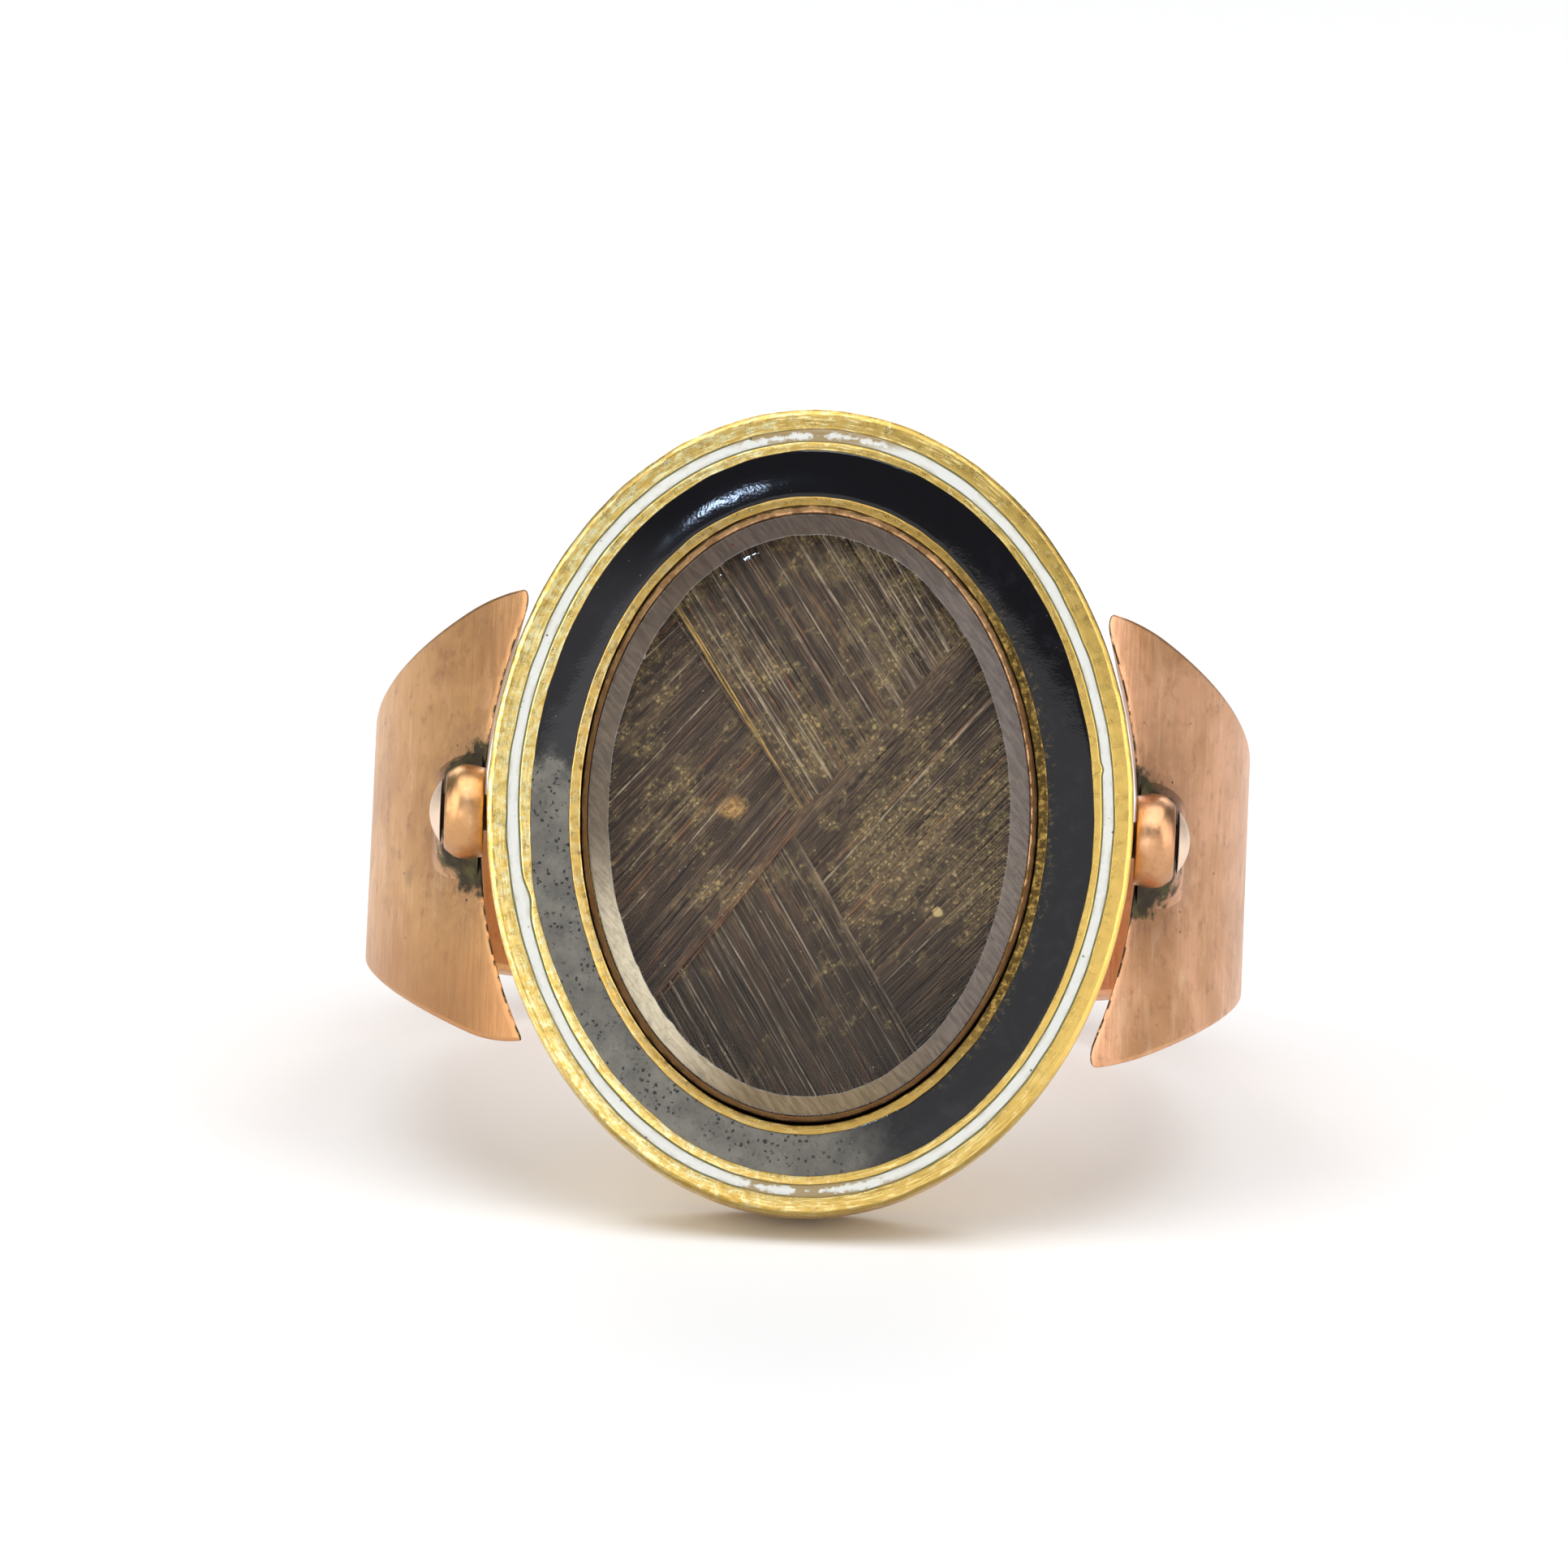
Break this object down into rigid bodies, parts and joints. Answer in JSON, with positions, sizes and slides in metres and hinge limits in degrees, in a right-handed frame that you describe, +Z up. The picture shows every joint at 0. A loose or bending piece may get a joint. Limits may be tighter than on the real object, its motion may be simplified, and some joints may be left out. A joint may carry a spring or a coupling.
{
  "type": "mourning ring with a swivel head",
  "caption": "Wide tapered band whose shoulders carry an oval enamelled case on pivot pins, with plaited hair under a bevelled crystal.",
  "frame": {"origin": "centre of the bounding box's base, on the surface that the ring lies on", "axes": "+Z up from the surface; the head faces -Y and leans back; +X is to the right of someone who looks at the head"},
  "size_m": [0.02, 0.0244, 0.0176],
  "materials": {
    "rose_gold": "satin, worn, with tarnish near the knuckles",
    "yellow_gold": "hand-worked and scratched",
    "back_gold": "plain satin",
    "white_enamel": "glossy with small pits and brown stains",
    "black_enamel": "glossy, scuffed at the lower left",
    "collet_gold": "thin worn rose gold",
    "hair": "flat plaited strands with pale dust",
    "crystal_glass": "polished with a bevelled edge",
    "pin_gold": "polished domes"
  },
  "bodies": {
    "shank": {"shank": "rose_gold"},
    "head": {"head_case": "yellow_gold", "case_back": "back_gold", "white_enamel": "white_enamel", "black_enamel": "black_enamel", "crystal_collet": "collet_gold", "hair_panel": "hair", "crystal": "crystal_glass", "pivot_pin_left": "pin_gold", "pivot_pin_right": "pin_gold"}
  },
  "joints": [
    {"name": "head_swivel", "type": "hinge", "parent": "shank", "child": "head", "pos_m": [0, -0.00798, 0.0085], "axis": [1, 0, 0], "continuous": true}
  ]
}
